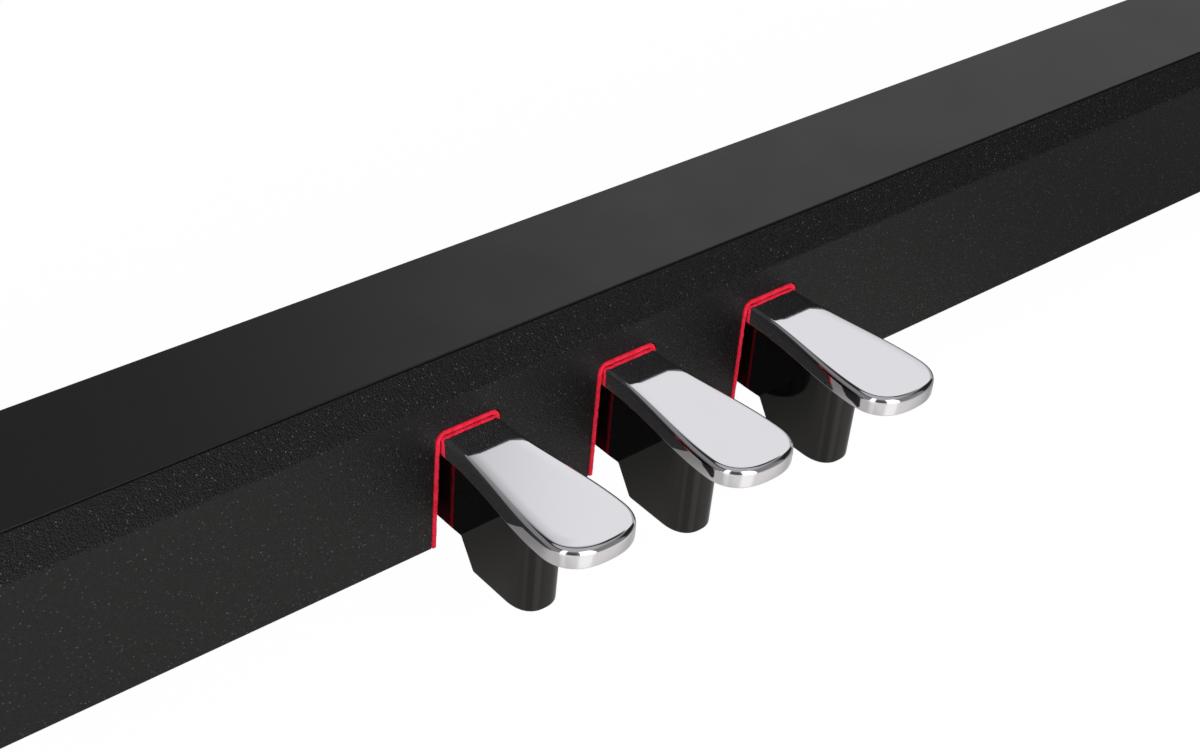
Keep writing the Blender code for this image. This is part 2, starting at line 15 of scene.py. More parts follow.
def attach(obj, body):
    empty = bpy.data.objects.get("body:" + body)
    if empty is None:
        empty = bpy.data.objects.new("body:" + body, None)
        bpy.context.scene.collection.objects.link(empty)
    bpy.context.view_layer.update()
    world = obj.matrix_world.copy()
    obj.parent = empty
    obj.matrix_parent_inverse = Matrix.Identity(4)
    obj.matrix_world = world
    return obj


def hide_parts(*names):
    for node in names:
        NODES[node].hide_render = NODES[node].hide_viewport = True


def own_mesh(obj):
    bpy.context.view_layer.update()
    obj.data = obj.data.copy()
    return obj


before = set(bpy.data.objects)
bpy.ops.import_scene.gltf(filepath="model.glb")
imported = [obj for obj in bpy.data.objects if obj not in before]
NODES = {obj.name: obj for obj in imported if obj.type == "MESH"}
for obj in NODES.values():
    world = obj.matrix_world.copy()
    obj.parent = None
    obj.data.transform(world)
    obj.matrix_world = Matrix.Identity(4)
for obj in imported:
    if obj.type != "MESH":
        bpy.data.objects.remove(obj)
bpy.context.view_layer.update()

ROOT = "pedal_board"
PEDALS = (("left", -0.070), ("middle", 0.0), ("right", 0.070))

# Crossbar
BAR_LENGTH = 1.200
BAR_HEIGHT = 0.072
CHAMFER = 0.0102
FRONT_THICKNESS = 0.015
TOP_THICKNESS = 0.012
GAP = 0.0003

# Pedals. The plate's top is closer to its felt at rest than the collision shape's is.
PIVOT_Y = 0.100
PIVOT_Z = 0.024
PLATE_TOP = 0.0480
TOP_SLOPE = 0.0160
PLATE_UNDERSIDE = 0.0404
UNDER_SLOPE = 0.0205
PLATE_BACK = 0.020
NECK_END = -0.005
NECK_HALF_WIDTH = 0.0114
WIDEST_Y = -0.060
TIP_HALF_WIDTH = 0.0171
TIP_Y = -0.0745
TIP_ROUNDNESS = 2.4
BODY_HALF_WIDTH = 0.0092
BODY_NOSE_Y = -0.0345
BODY_NOSE_LENGTH = 0.0115
BODY_BOTTOM = -0.0003
BODY_ROUNDNESS = 2.4

# Felt linings
FELT_HALF_WIDTH = 0.0133
FELT_TOP = 0.0498
FELT_LEG = 0.0016
FELT_CORNER = 0.0038
FELT_BACK = 0.0147
FIBRES = 2600

# Mechanism
SHEET = 0.0015
UNIT_BACK = 0.1135
SPRING_Y = 0.050
SPRING_RADIUS = 0.0055
TAIL_TOP = 0.0470
TAIL_UNDERSIDE = 0.0424
TAIL_HALF_WIDTH = 0.0095
SPRING_STUB_RADIUS = 0.0029
SENSOR_Y = 0.044
BOARD_BOTTOM = 0.0564
SCREW_Z = 0.008
SCREW_PLACES = (("left", -0.090), ("centre", 0.0), ("right", 0.090))
ADJUSTER_Y = 0.034
ADJUSTER_BASE = -0.035
SCREW_RADIUS = 0.004
THREAD_PITCH = 0.00125
KNOB_RADIUS = 0.0125
PAD_HEIGHT = 0.0030
FLOOR_Z = ADJUSTER_BASE

AXES = {"X": (1, 2, 0), "Y": (0, 2, 1), "Z": (0, 1, 2)}

# Blender's vector noise starts from the clock unless it is seeded.
noise.seed_set(1)


# ---------------------------------------------------------------- node graphs


def put(tree, value, socket):
    """Link a socket, or set a plain value."""
    if isinstance(value, bpy.types.NodeSocket):
        tree.links.new(value, socket)
    else:
        socket.default_value = value


def node(tree, kind, inputs=None, **settings):
    made = tree.nodes.new(kind)
    for name, value in settings.items():
        setattr(made, name, value)
    for key, value in (inputs or {}).items():
        put(tree, value, made.inputs[key])
    return made


def maths(tree, operation, a, b=0.0):
    made = node(tree, "ShaderNodeMath", {0: a, 1: b}, operation=operation)
    return made.outputs[0]


def ramp(tree, value, low, high, to_low, to_high, smooth=False):
    """Map a value from low..high to to_low..to_high, clamped."""
    made = node(tree, "ShaderNodeMapRange", {0: value, 1: low, 2: high, 3: to_low, 4: to_high})
    made.interpolation_type = "SMOOTHSTEP" if smooth else "LINEAR"
    return made.outputs[0]


def blend_colour(tree, factor, first, second):
    made = tree.nodes.new("ShaderNodeMix")
    made.data_type = "RGBA"
    put(tree, factor, made.inputs[0])
    for value, socket in ((first, made.inputs[6]), (second, made.inputs[7])):
        put(tree, value if isinstance(value, bpy.types.NodeSocket) else (*value, 1.0), socket)
    return made.outputs[2]


def object_coordinates(tree):
    return node(tree, "ShaderNodeTexCoord").outputs["Object"]


def grain(tree, where, scale, detail=2.0, stretch=None):
    """A noise field 0..1 with features of about 1/scale metres."""
    if stretch:
        where = node(tree, "ShaderNodeMapping", {"Vector": where, "Scale": stretch}).outputs[0]
    made = node(tree, "ShaderNodeTexNoise", {"Vector": where, "Scale": scale, "Detail": detail})
    return made.outputs[0]


def cells(tree, where, scale, output="Distance"):
    made = node(tree, "ShaderNodeTexVoronoi", {"Vector": where, "Scale": scale})
    return made.outputs[output]


def bump(tree, height, distance):
    inputs = {"Height": height, "Distance": distance, "Strength": 1.0}
    return node(tree, "ShaderNodeBump", inputs).outputs[0]


MATS = {}


def material(slot, metallic=0.0, **sockets):
    """A Principled material for one slot. Sockets given here are uniform numbers."""
    made = bpy.data.materials.new(f"{slot}_finish")
    made.use_nodes = True
    shader = made.node_tree.nodes["Principled BSDF"]
    shader.inputs["Metallic"].default_value = metallic
    for name, value in sockets.items():
        shader.inputs[name.replace("_", " ")].default_value = value
    MATS[slot] = made
    return made.node_tree, shader, object_coordinates(made.node_tree)


def plain_finish(slot, dark, light, rough, scale, height=0.0, metallic=0.0, stretch=None, **sockets):
    """Colour and roughness that wander with one noise field, and a bump from a finer one."""
    tree, shader, where = material(slot, metallic, **sockets)
    field = ramp(tree, grain(tree, where, scale, 3.0, stretch), 0.3, 0.7, 0.0, 1.0)
    put(tree, blend_colour(tree, field, dark, light), shader.inputs["Base Color"])
    put(tree, ramp(tree, field, 0.0, 1.0, rough[0], rough[1]), shader.inputs["Roughness"])
    if height:
        fine = grain(tree, where, scale * 2.3, 2.0, stretch)
        put(tree, bump(tree, fine, height), shader.inputs["Normal"])
    return tree, shader, where


def textured_black():
    """Sand-textured paint: fine raised grains, with pale dots painted into the colour as glints of grains
    catching the light.
    """
    tree, shader, where = material("textured_black", Specular_IOR_Level=0.38)
    fine = grain(tree, where, 1600.0, 2.0)
    coarse = grain(tree, where, 600.0, 1.0)
    # Pale dots painted into the base colour: painted glints, standing in for grains catching the light.
    painted_glints = ramp(tree, cells(tree, where, 560.0), 0.05, 0.20, 1.0, 0.0)
    tint = ramp(tree, fine, 0.35, 0.75, 0.0, 1.0)
    colour = blend_colour(tree, tint, (0.0008, 0.0008, 0.0009), (0.0028, 0.0028, 0.0031))
    colour = blend_colour(tree, maths(tree, "MULTIPLY", painted_glints, tint), colour, (0.15, 0.15, 0.16))
    put(tree, colour, shader.inputs["Base Color"])
    put(tree, ramp(tree, coarse, 0.3, 0.7, 0.30, 0.46), shader.inputs["Roughness"])
    height = maths(tree, "ADD", fine, maths(tree, "MULTIPLY", coarse, 0.35))
    put(tree, bump(tree, height, 0.00040), shader.inputs["Normal"])


def satin_black():
    """Smooth foil with a faint mottle and a few specks of dust."""
    tree, shader, where = material("satin_black")
    mottle = grain(tree, where, 300.0, 3.0)
    dust = ramp(tree, cells(tree, where, 170.0), 0.0, 0.045, 1.0, 0.0)
    colour = blend_colour(tree, mottle, (0.0045, 0.0045, 0.0050), (0.0080, 0.0078, 0.0080))
    colour = blend_colour(tree, maths(tree, "MULTIPLY", dust, 0.5), colour, (0.07, 0.07, 0.07))
    put(tree, colour, shader.inputs["Base Color"])
    wander = grain(tree, where, 30.0, 2.0)
    put(tree, ramp(tree, wander, 0.3, 0.7, 0.27, 0.33), shader.inputs["Roughness"])
    put(tree, bump(tree, grain(tree, where, 900.0, 1.0), 0.000010), shader.inputs["Normal"])


def felt(slot, hollow_shade, mid, bright, tint):
    """Matted wool: tangled fibres, painted shade (a darker colour) in the hollows of the bump, and a soft
    sheen.
    """
    sheen = {"Sheen_Weight": 0.35, "Sheen_Roughness": 0.5, "Sheen_Tint": (*tint, 1.0)}
    tree, shader, where = material(slot, Specular_IOR_Level=0.2, **sheen)
    tangle = grain(tree, where, 1300.0, 4.0)
    blotch = grain(tree, where, 260.0, 2.0)
    # Painted shade: the colour darkens where the tangle noise is low, which are the hollows of the bump.
    low = blend_colour(tree, ramp(tree, tangle, 0.3, 0.6, 0.0, 1.0), hollow_shade, mid)
    mixed = blend_colour(tree, ramp(tree, blotch, 0.35, 0.75, 0.0, 1.0), low, bright)
    put(tree, mixed, shader.inputs["Base Color"])
    put(tree, ramp(tree, tangle, 0.3, 0.7, 0.80, 0.98), shader.inputs["Roughness"])
    put(tree, bump(tree, tangle, 0.00035), shader.inputs["Normal"])


def chrome():
    tree, shader, where = material("chrome", 1.0)
    haze = grain(tree, where, 90.0, 3.0)
    colour = blend_colour(tree, haze, (0.880, 0.875, 0.925), (0.905, 0.900, 0.945))
    put(tree, colour, shader.inputs["Base Color"])
    put(tree, ramp(tree, haze, 0.3, 0.7, 0.035, 0.055), shader.inputs["Roughness"])


def gloss_black():
    tree, shader, where = material("gloss_black")
    haze = grain(tree, where, 120.0, 3.0)
    colour = blend_colour(tree, haze, (0.0018, 0.0017, 0.0016), (0.0032, 0.0030, 0.0028))
    put(tree, colour, shader.inputs["Base Color"])
    put(tree, ramp(tree, haze, 0.3, 0.7, 0.025, 0.05), shader.inputs["Roughness"])
    put(tree, bump(tree, grain(tree, where, 220.0, 1.0), 0.000006), shader.inputs["Normal"])


def zinc():
    """Zinc-plated sheet: pale spangles of slightly different brightness."""
    tree, shader, where = material("zinc_steel", 1.0)
    spangle = node(tree, "ShaderNodeSeparateColor", {0: cells(tree, where, 260.0, "Color")}).outputs[0]
    cloud = grain(tree, where, 45.0, 3.0)
    mixed = maths(tree, "ADD", maths(tree, "MULTIPLY", spangle, 0.5), maths(tree, "MULTIPLY", cloud, 0.5))
    colour = blend_colour(tree, mixed, (0.47, 0.48, 0.49), (0.68, 0.69, 0.70))
    put(tree, colour, shader.inputs["Base Color"])
    put(tree, ramp(tree, mixed, 0.2, 0.8, 0.27, 0.42), shader.inputs["Roughness"])
    put(tree, bump(tree, grain(tree, where, 1400.0, 2.0), 0.000012), shader.inputs["Normal"])


def circuit():
    """Solder mask over a weave of glass cloth."""
    tree, shader, where = material("circuit_green", Coat_Weight=0.3, Coat_Roughness=0.12)
    weave = grain(tree, where, 1100.0, 1.0, (1.0, 0.25, 1.0))
    colour = blend_colour(tree, weave, (0.006, 0.060, 0.022), (0.016, 0.125, 0.045))
    put(tree, colour, shader.inputs["Base Color"])
    put(tree, ramp(tree, weave, 0.3, 0.7, 0.28, 0.40), shader.inputs["Roughness"])
    put(tree, bump(tree, weave, 0.000025), shader.inputs["Normal"])


def make_materials():
    textured_black()
    satin_black()
    chrome()
    gloss_black()
    zinc()
    circuit()
    # Each felt's first colour is the painted shade of its hollows.
    felt("red_felt", (0.52, 0.0035, 0.018), (0.80, 0.010, 0.038), (0.90, 0.022, 0.062), (1.0, 0.25, 0.30))
    felt("grey_felt", (0.10, 0.095, 0.09), (0.23, 0.22, 0.21), (0.32, 0.31, 0.30), (0.6, 0.6, 0.6))
    plain_finish("board_black", (0.010, 0.010, 0.010), (0.026, 0.024, 0.023), (0.5, 0.7), 420.0, 0.00006)
    plain_finish("black_rubber", (0.012, 0.012, 0.012), (0.030, 0.029, 0.028), (0.62, 0.82), 520.0, 0.00003)
    plain_finish("painted_steel", (0.013, 0.013, 0.013), (0.028, 0.028, 0.029), (0.42, 0.55), 900.0, 0.00004)
    plain_finish("knob_black", (0.011, 0.011, 0.011), (0.024, 0.024, 0.025), (0.36, 0.5), 1200.0, 0.00003)
    plain_finish("chip_black", (0.012, 0.012, 0.012), (0.024, 0.024, 0.025), (0.4, 0.52), 1500.0, 0.00002)
    plain_finish("nylon", (0.70, 0.675, 0.61), (0.80, 0.78, 0.73), (0.35, 0.5), 240.0, 0.00001)
    plain_finish("socket_white", (0.68, 0.66, 0.60), (0.78, 0.76, 0.71), (0.32, 0.45), 300.0, 0.00001)
    lathe = (1.0, 9.0, 9.0)
    plain_finish(
        "ground_steel", (0.55, 0.55, 0.56), (0.70, 0.70, 0.71), (0.16, 0.28), 160.0, 0.000004, 1.0, lathe
    )
    plain_finish("brass", (0.66, 0.44, 0.17), (0.80, 0.58, 0.28), (0.2, 0.36), 320.0, 0.000008, 1.0)
    plain_finish("nickel", (0.64, 0.62, 0.58), (0.76, 0.74, 0.71), (0.14, 0.28), 260.0, 0.000006, 1.0)


# ---------------------------------------------------------------- mesh helpers


def finish(name, bm, slot, angle=35.0):
    """Turn a bmesh into a named object with its faces out, smooth where the surface is."""
    bmesh.ops.recalc_face_normals(bm, faces=bm.faces)
    mesh = bpy.data.meshes.new(name)
    bm.to_mesh(mesh)
    bm.free()
    mesh.materials.append(MATS[slot])
    mesh.shade_smooth()
    mesh.set_sharp_from_angle(angle=math.radians(angle))
    made = bpy.data.objects.new(name, mesh)
    bpy.context.scene.collection.objects.link(made)
    made["slot"] = slot
    return made


def place(piece, body, *replaced):
    """Let a piece ride on its body, in place of its CAD nodes."""
    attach(piece, body)
    if replaced:
        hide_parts(*replaced)
    return piece


def bake(piece):
    """Keep what the modifiers make as the piece's own mesh."""
    bpy.context.view_layer.update()
    graph = bpy.context.evaluated_depsgraph_get()
    mesh = bpy.data.meshes.new_from_object(piece.evaluated_get(graph))
    piece.modifiers.clear()
    piece.data = mesh
    return piece


def cut(piece, *tools):
    """Cut tools out of a piece, and remove the tools."""
    for tool in tools:
        modifier = piece.modifiers.new("cut", "BOOLEAN")
        modifier.object = tool
        modifier.solver = "EXACT"
    bake(piece)
    for tool in tools:
        bpy.data.objects.remove(tool)
    return piece


def flatten_normals(piece):
    """Let large faces keep flat shading next to their small bevels."""
    piece.modifiers.new("normals", "WEIGHTED_NORMAL").keep_sharp = True
    return bake(piece)


def loft(bm, rings, closed=True, caps=True):
    """Join rings of points, each as long as the next, into a skin."""
    made = [[bm.verts.new(point) for point in ring] for ring in rings]
    count = len(made[0])
    for first, second in zip(made, made[1:]):
        for i in range(count if closed else count - 1):
            j = (i + 1) % count
            bm.faces.new((first[i], first[j], second[j], second[i]))
    if caps:
        bm.faces.new(made[0])
        bm.faces.new(made[-1])
    return made


def point_on(axis, a, b, along):
    spot = [0.0, 0.0, 0.0]
    first, second, last = AXES[axis]
    spot[first] = a
    spot[second] = b
    spot[last] = along
    return Vector(spot)


def circle(axis, centre, radius, along, segments):
    """Points on a circle round an axis."""
    ring = []
    for k in range(segments):
        angle = 2 * math.pi * k / segments
        a = centre[0] + radius * math.cos(angle)
        b = centre[1] + radius * math.sin(angle)
        ring.append(point_on(axis, a, b, along))
    return ring


def add_turned(bm, profile, axis, centre, segments=48):
    """A closed solid of revolution from (place, radius) pairs along an axis."""
    loft(bm, [circle(axis, centre, radius, along, segments) for along, radius in profile])


def close_round(bm, rings):
    """Skin a ring-shaped solid, whose last ring joins its first."""
    loft(bm, rings + rings[:1], caps=False)
    bmesh.ops.remove_doubles(bm, verts=bm.verts, dist=1e-7)


def add_tube(bm, outer, inner, axis, centre, low, high, edge=0.0003, segments=48):
    """A straight tube with small bevels at its four edges."""
    profile = [
        (low + edge, outer),
        (high - edge, outer),
        (high, outer - edge),
        (high, inner + edge),
        (high - edge, inner),
        (low + edge, inner),
        (low, inner + edge),
        (low, outer - edge),
    ]
    close_round(bm, [circle(axis, centre, radius, along, segments) for along, radius in profile])


def add_prism(bm, outline, axis, low, high):
    near = [point_on(axis, a, b, low) for a, b in outline]
    far = [point_on(axis, a, b, high) for a, b in outline]
    loft(bm, [near, far])


def add_block(bm, low, high):
    outline = [(low[0], low[1]), (high[0], low[1]), (high[0], high[1]), (low[0], high[1])]
    add_prism(bm, outline, "Z", low[2], high[2])


def bevel_sharp(bm, width, segments=2, angle=30.0):
    """Round every edge sharper than an angle."""
    bmesh.ops.recalc_face_normals(bm, faces=bm.faces)
    sharp = [e for e in bm.edges if e.is_manifold and e.calc_face_angle() > math.radians(angle)]
    bmesh.ops.bevel(
        bm, geom=sharp, offset=width, segments=segments, profile=0.5, affect="EDGES", clamp_overlap=True
    )


def soften(node_name, slot, width, body=ROOT, segments=2, roughen=0.0):
    """A copy of a CAD node with its edges rounded."""
    bm = bmesh.new()
    bm.from_mesh(NODES[node_name].data)
    bmesh.ops.remove_doubles(bm, verts=bm.verts, dist=1e-6)
    bmesh.ops.dissolve_limit(bm, angle_limit=math.radians(1.0), verts=bm.verts, edges=bm.edges)
    bevel_sharp(bm, width, segments)
    if roughen:
        bmesh.ops.triangulate(bm, faces=bm.faces)
        bmesh.ops.subdivide_edges(bm, edges=bm.edges, cuts=3, use_grid_fill=True)
        for vertex in bm.verts:
            vertex.co += roughen * noise.noise_vector(vertex.co * 700.0)
    piece = flatten_normals(finish(f"{node_name}_finished", bm, slot))
    return place(piece, body, node_name)


def arc(centre, radius, start, end, steps):
    """Points (a, b) on an arc, angles in degrees."""
    points = []
    for k in range(steps + 1):
        angle = math.radians(start + (end - start) * k / steps)
        points.append((centre[0] + radius * math.cos(angle), centre[1] + radius * math.sin(angle)))
    return points


def rounded(outline, radius, steps=3):
    """An outline with every corner rounded."""
    points = []
    count = len(outline)
    for i in range(count):
        corner = Vector(outline[i])
        before = Vector(outline[i - 1]) - corner
        after = Vector(outline[(i + 1) % count]) - corner
        reach = min(radius, 0.45 * before.length, 0.45 * after.length)
        start = corner + before.normalized() * reach
        end = corner + after.normalized() * reach
        for k in range(steps + 1):
            t = k / steps
            spot = start * (1 - t) ** 2 + corner * (2 * t * (1 - t)) + end * t * t
            points.append((spot.x, spot.y))
    return points


def resample(points, step):
    """Points spaced evenly along an open line."""
    lengths = [0.0]
    for first, second in zip(points, points[1:]):
        lengths.append(lengths[-1] + (second - first).length)
    count = max(2, round(lengths[-1] / step))
    found = []
    i = 0
    for k in range(count + 1):
        want = lengths[-1] * k / count
        while i < len(points) - 2 and lengths[i + 1] < want:
            i += 1
        t = (want - lengths[i]) / max(lengths[i + 1] - lengths[i], 1e-12)
        found.append(points[i].lerp(points[i + 1], min(max(t, 0.0), 1.0)))
    return found


# ---------------------------------------------------------------- crossbar


def slot_arch(x, grow):
    half = FELT_HALF_WIDTH + grow
    top = FELT_TOP + grow
    radius = FELT_CORNER
    left = arc((x - half + radius, top - radius), radius, 180, 90, 8)
    right = arc((x + half - radius, top - radius), radius, 90, 0, 8)
    return [(x - half, -0.005)] + left + right + [(x + half, -0.005)]


def make_front_board():
    """Chamfered board with eased edges, a rebate behind the chamfer and three slots."""
    rebate = BAR_HEIGHT - TOP_THICKNESS
    ease = 0.0006
    slope = ease * math.sqrt(0.5)
    section = [
        (0.0, ease),
        (0.0, BAR_HEIGHT - CHAMFER - ease),
        (0.00006, BAR_HEIGHT - CHAMFER - 0.6 * ease),
        (0.00022, BAR_HEIGHT - CHAMFER - 0.1 * ease),
        (slope, BAR_HEIGHT - CHAMFER + slope),
        (CHAMFER - 0.0006, BAR_HEIGHT - 0.0006),
        (CHAMFER - 0.0003, BAR_HEIGHT - 0.0004),
        (CHAMFER, BAR_HEIGHT - 0.0008),
        (CHAMFER, rebate),
        (FRONT_THICKNESS, rebate),
        (FRONT_THICKNESS, 0.0),
        (ease, 0.0),
        (0.3 * ease, 0.3 * ease),
    ]
    half = BAR_LENGTH / 2
    bm = bmesh.new()
    add_prism(bm, section, "X", -half, half)
    board = finish("front_board_finished", bm, "textured_black")
    tools = []
    for side, x in PEDALS:
        bm = bmesh.new()
        add_prism(bm, slot_arch(x, GAP), "Y", -0.005, FRONT_THICKNESS + 0.005)
        tools.append(finish(f"slot_tool_{side}", bm, "textured_black"))
    cut(board, *tools)
    board.data.set_sharp_from_angle(angle=math.radians(30))
    flatten_normals(board)
    place(board, ROOT, "front_board")


def make_felt(side, x, seed):
    """Inverted U of felt: uneven thickness, puffed front edge and loose fibres."""
    rng = random.Random(seed)
    middle = 0.5 * FELT_LEG
    top = FELT_TOP - 0.0007
    across = FELT_HALF_WIDTH - middle
    bend = FELT_CORNER - middle
    path = [Vector((x - across, 0.0004))]
    path += [Vector(p) for p in arc((x - across + bend, top - bend), bend, 180, 90, 10)]
    path += [Vector(p) for p in arc((x + across - bend, top - bend), bend, 90, 0, 10)]
    path.append(Vector((x + across, 0.0004)))
    path = resample(path, 0.0005)
    rings = []
    outward = []
    for k, spot in enumerate(path):
        ahead = path[min(k + 1, len(path) - 1)] - path[max(k - 1, 0)]
        along = ahead.normalized()
        out = Vector((-along.y, along.x))
        lift = min(max((spot.y - 0.040) / 0.008, 0.0), 1.0)
        wander = noise.noise(Vector((spot.x * 260, spot.y * 260, seed)))
        half = 0.5 * (FELT_LEG - 0.0003 * lift) * (1 + 0.06 * wander)
        front = -0.0004 - 0.0002 * noise.noise(Vector((spot.x * 420, 5.0, spot.y * 420)))
        inner = half + 0.00030 * lift
        soft = 0.6 * half
        section = [
            (half, FELT_BACK),
            (half, 0.010),
            (half, 0.005),
            (half, front + soft),
            (half * 0.88, front + soft * 0.40),
            (half * 0.55, front + soft * 0.09),
            (0.0, front),
            (-inner * 0.55, front + soft * 0.09),
            (-inner * 0.88, front + soft * 0.40),
            (-inner, front + soft),
            (-inner, 0.005),
            (-inner, 0.010),
            (-inner, FELT_BACK),
        ]
        ring = []
        for offset, y in section:
            point = Vector((spot.x + out.x * offset, y, spot.y + out.y * offset))
            if y < 0.014:
                point += 0.00007 * noise.noise_vector(point * 1600)
            ring.append(point)
        rings.append(ring)
        outward.append(out)
    bm = bmesh.new()
    loft(bm, rings)
    for _ in range(FIBRES):
        k = rng.randrange(len(rings))
        s = rng.randrange(2, 10)
        root = rings[k][s].lerp(rings[k][s + 1], rng.random())
        side_out = Vector((outward[k].x, 0.0, outward[k].y))
        facing = (side_out * (1.0 - (s - 2) / 3.5) + Vector((0.0, -1.2, 0.0))).normalized()
        add_fibre(bm, root, facing, rng)
    piece = finish(f"slot_felt_{side}_wool", bm, "red_felt", 60)
    place(piece, ROOT, f"slot_felt_{side}")


def add_fibre(bm, root, facing, rng):
    """One loose fibre: a thin bent spike with three sides."""
    lean = Vector((rng.uniform(-1, 1), rng.uniform(-1, 1), rng.uniform(-1, 1)))
    tip_way = (facing + lean * 1.1).normalized()
    length = rng.uniform(0.00012, 0.00036)
    radius = rng.uniform(0.000018, 0.000032)
    bend = (tip_way + lean * 0.5).normalized()
    middle = root + tip_way * length * 0.5
    tip = middle + bend * length * 0.5
    first = tip_way.orthogonal().normalized()
    second = tip_way.cross(first)
    rings = []
    for spot, size in ((root - tip_way * 0.0001, radius), (middle, radius * 0.8), (tip, radius * 0.3)):
        ring = []
        for s in range(3):
            angle = 2 * math.pi * s / 3
            ring.append(spot + (first * math.cos(angle) + second * math.sin(angle)) * size)
        rings.append(ring)
    loft(bm, rings)


# ---------------------------------------------------------------- pedals


def plate_half_width(y):
    t = min(max((y - NECK_END) / (WIDEST_Y - NECK_END), 0.0), 1.0)
    return NECK_HALF_WIDTH + (TIP_HALF_WIDTH - NECK_HALF_WIDTH) * t * t * (3 - 2 * t)


def topside(y):
    return PLATE_TOP - TOP_SLOPE * min(y, 0.0)


def underside(y):
    return PLATE_UNDERSIDE - UNDER_SLOPE * min(y, 0.0)


def plate_edge():
    """Plan line of the plate, from its back left corner round the tip to its back right corner."""
    side = [Vector((-NECK_HALF_WIDTH, PLATE_BACK))]
    steps = 80
    for k in range(steps + 1):
        y = NECK_END + (WIDEST_Y - NECK_END) * k / steps
        side.append(Vector((-plate_half_width(y), y)))
    power = 2 / TIP_ROUNDNESS
    length = WIDEST_Y - TIP_Y
    steps = 240
    for k in range(1, steps + 1):
        angle = 0.5 * math.pi * k / steps
        across = TIP_HALF_WIDTH * math.cos(angle) ** power
        side.append(Vector((-across, WIDEST_Y - length * math.sin(angle) ** power)))
    side = resample(side, 0.0007)
    side[-1].x = 0.0
    return side + [Vector((-p.x, p.y)) for p in reversed(side[:-1])]


def edge_radius(y):
    """The upper edge is rounder at the tip than at the neck."""
    t = min(max((y - NECK_END) / (WIDEST_Y - NECK_END), 0.0), 1.0)
    return 0.0015 + 0.0008 * t * t * (3 - 2 * t)


def add_plate(bm, x):
    """The plate underfoot: eased lower edge, slightly bulged wall, round upper edge, crowned top."""
    line = plate_edge()
    last = len(line) - 1
    inward = []
    for i in range(len(line)):
        along = line[min(i + 1, last)] - line[max(i - 1, 0)]
        inward.append(Vector((-along.y, along.x)).normalized())
    inward[0] = Vector((1.0, 0.0))
    inward[last] = Vector((-1.0, 0.0))

    def ring(inset, height):
        points = []
        for spot, way in zip(line, inward):
            moved = spot + way * inset(spot.y)
            points.append(Vector((x + moved.x, moved.y, height(spot.y))))
        return points

    ease = 0.0005
    rings = [ring(lambda y: 0.0040, underside)]
    for k in range(4):
        angle = 0.5 * math.pi * k / 3
        rings.append(
            ring(
                lambda y, a=angle: ease * (1 - math.sin(a)),
                lambda y, a=angle: underside(y) + ease * (1 - math.cos(a)),
            )
        )
    for t in (0.35, 0.65):
        rings.append(
            ring(
                lambda y: -0.00004,
                lambda y, t=t: (underside(y) + ease) * (1 - t) + (topside(y) - edge_radius(y)) * t,
            )
        )
    slope = math.radians(3.0)
    crown_width = 0.0042
    crown = 0.5 * crown_width * math.tan(slope)
    steps = 10
    for k in range(steps + 1):
        angle = (0.5 * math.pi - slope) * k / steps
        rings.append(
            ring(
                lambda y, a=angle: edge_radius(y) * (1 - math.cos(a)),
                lambda y, a=angle: topside(y) - crown - edge_radius(y) * (1 - math.sin(a)),
            )
        )
    for k in range(1, 8):
        t = k / 7
        rings.append(
            ring(
                lambda y, t=t: edge_radius(y) + crown_width * t,
                lambda y, t=t: topside(y) - crown * (1 - t) ** 2,
            )
        )
    made = loft(bm, rings, closed=False)
    left = [r[0] for r in made]
    right = [r[-1] for r in reversed(made)]
    bm.faces.new(left + right)


def make_lever(side, x):
    """Chromed plate, cast tail, spring boss and pivot boss."""
    bm = bmesh.new()
    add_plate(bm, x)
    plate = finish(f"pedal_lever_{side}_plate", bm, "chrome", 50)
    flatten_normals(plate)
    bm = bmesh.new()
    outline = [
        (PLATE_BACK - 0.0001, TAIL_UNDERSIDE),
        (PLATE_BACK - 0.0001, TAIL_TOP),
        (0.062, TAIL_TOP),
        (0.103, 0.032),
        (0.106, PIVOT_Z),
        (PIVOT_Y, 0.0165),
        (0.092, 0.020),
        (0.060, TAIL_UNDERSIDE),
    ]
    add_prism(bm, rounded(outline, 0.0022), "X", x - TAIL_HALF_WIDTH, x + TAIL_HALF_WIDTH)
    bevel_sharp(bm, 0.0008, 2)
    tail = finish(f"pedal_lever_{side}_tail", bm, "chrome")
    bm = bmesh.new()
    add_turned(bm, [(x - 0.02, 0.0068), (x + 0.02, 0.0068)], "X", (PIVOT_Y, PIVOT_Z))
    flatten_normals(cut(tail, finish("bore_tool", bm, "chrome")))
    bm = bmesh.new()
    add_tube(bm, 0.009, 0.0068, "X", (PIVOT_Y, PIVOT_Z), x - 0.012, x + 0.012, 0.0005)
    stub = SPRING_STUB_RADIUS
    profile = [(0.038, stub - 0.0006), (0.0384, stub), (TAIL_UNDERSIDE + 0.001, stub)]
    add_turned(bm, profile, "Z", (x, SPRING_Y), 32)
    bosses = finish(f"pedal_lever_{side}_bosses", bm, "chrome")
    body = f"{side}_pedal"
    place(plate, body, f"pedal_lever_{side}")
    place(tail, body)
    place(bosses, body)


def body_back(z):
    """How far back the block reaches below the notch, which clears the bottom of the slot."""
    if z >= 0.0007:
        return -0.0173 + (z - 0.0007) / 0.0112 * 0.0076
    return -0.0184 + (z - BODY_BOTTOM) / 0.0010 * 0.0011


